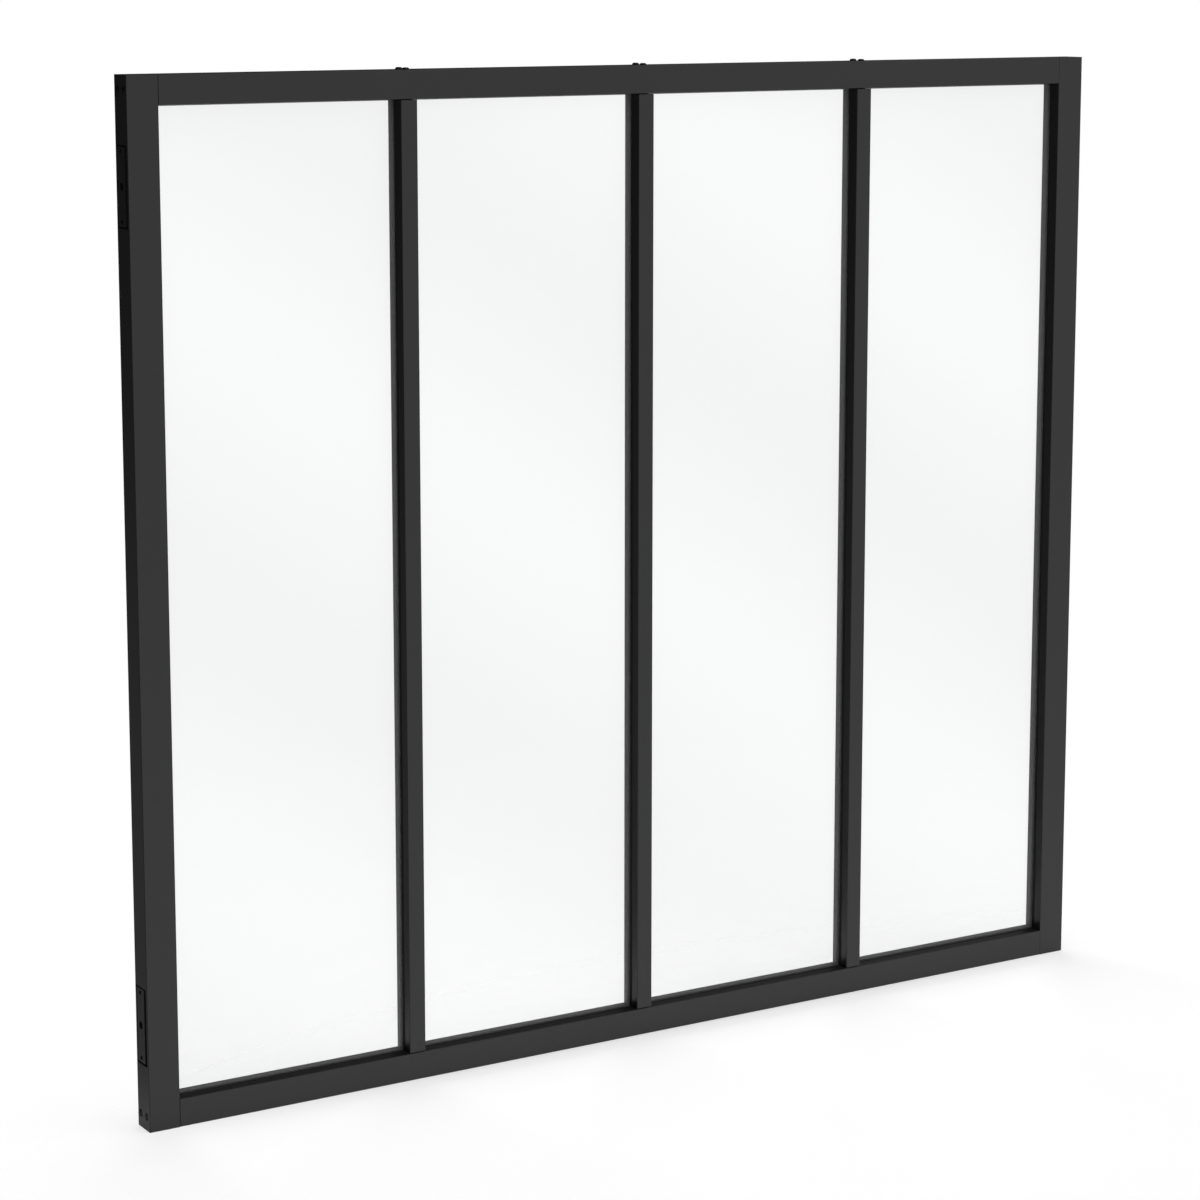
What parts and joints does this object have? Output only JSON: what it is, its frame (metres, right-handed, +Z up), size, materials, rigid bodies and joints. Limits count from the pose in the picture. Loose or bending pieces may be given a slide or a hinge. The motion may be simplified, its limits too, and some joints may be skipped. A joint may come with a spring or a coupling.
{
  "type": "interior glass partition",
  "caption": "Half-height interior glass partition: black aluminium frame of stiles, rails and slim mullions holding clear panes between gaskets and rear beads.",
  "frame": {"origin": "middle of the base, on the sill plane, at mid-depth of the frame", "axes": "+X along the width to the viewer's right as seen from the front, +Y from the front to the back, +Z up"},
  "size_m": [1.2, 0.03, 1.0822],
  "materials": {
    "frame": "fine-textured matt black powder coat on extruded aluminium",
    "glass": "clear, polished",
    "gasket": "matt black rubber",
    "plate": "black coated steel",
    "screw": "black coated steel screws",
    "plug": "black moulded plastic"
  },
  "bodies": {
    "root": {"bottom_rail": "frame", "left_lower_fixing_plate": "plate", "left_stile": "frame", "left_stile_end_plugs": "plug", "left_upper_fixing_plate": "plate", "mullion_1": "frame", "mullion_2": "frame", "mullion_3": "frame", "pane_1_bottom_bead": "frame", "pane_1_front_gasket": "gasket", "pane_1_glass": "glass", "pane_1_left_bead": "frame", "pane_1_rear_gasket": "gasket", "pane_1_right_bead": "frame", "pane_1_top_bead": "frame", "pane_2_bottom_bead": "frame", "pane_2_front_gasket": "gasket", "pane_2_glass": "glass", "pane_2_left_bead": "frame", "pane_2_rear_gasket": "gasket", "pane_2_right_bead": "frame", "pane_2_top_bead": "frame", "pane_3_bottom_bead": "frame", "pane_3_front_gasket": "gasket", "pane_3_glass": "glass", "pane_3_left_bead": "frame", "pane_3_rear_gasket": "gasket", "pane_3_right_bead": "frame", "pane_3_top_bead": "frame", "pane_4_bottom_bead": "frame", "pane_4_front_gasket": "gasket", "pane_4_glass": "glass", "pane_4_left_bead": "frame", "pane_4_rear_gasket": "gasket", "pane_4_right_bead": "frame", "pane_4_top_bead": "frame", "right_lower_fixing_plate": "plate", "right_stile": "frame", "right_stile_end_plugs": "plug", "right_upper_fixing_plate": "plate", "top_mullion_screws": "screw", "top_rail": "frame"}
  },
  "joints": []
}
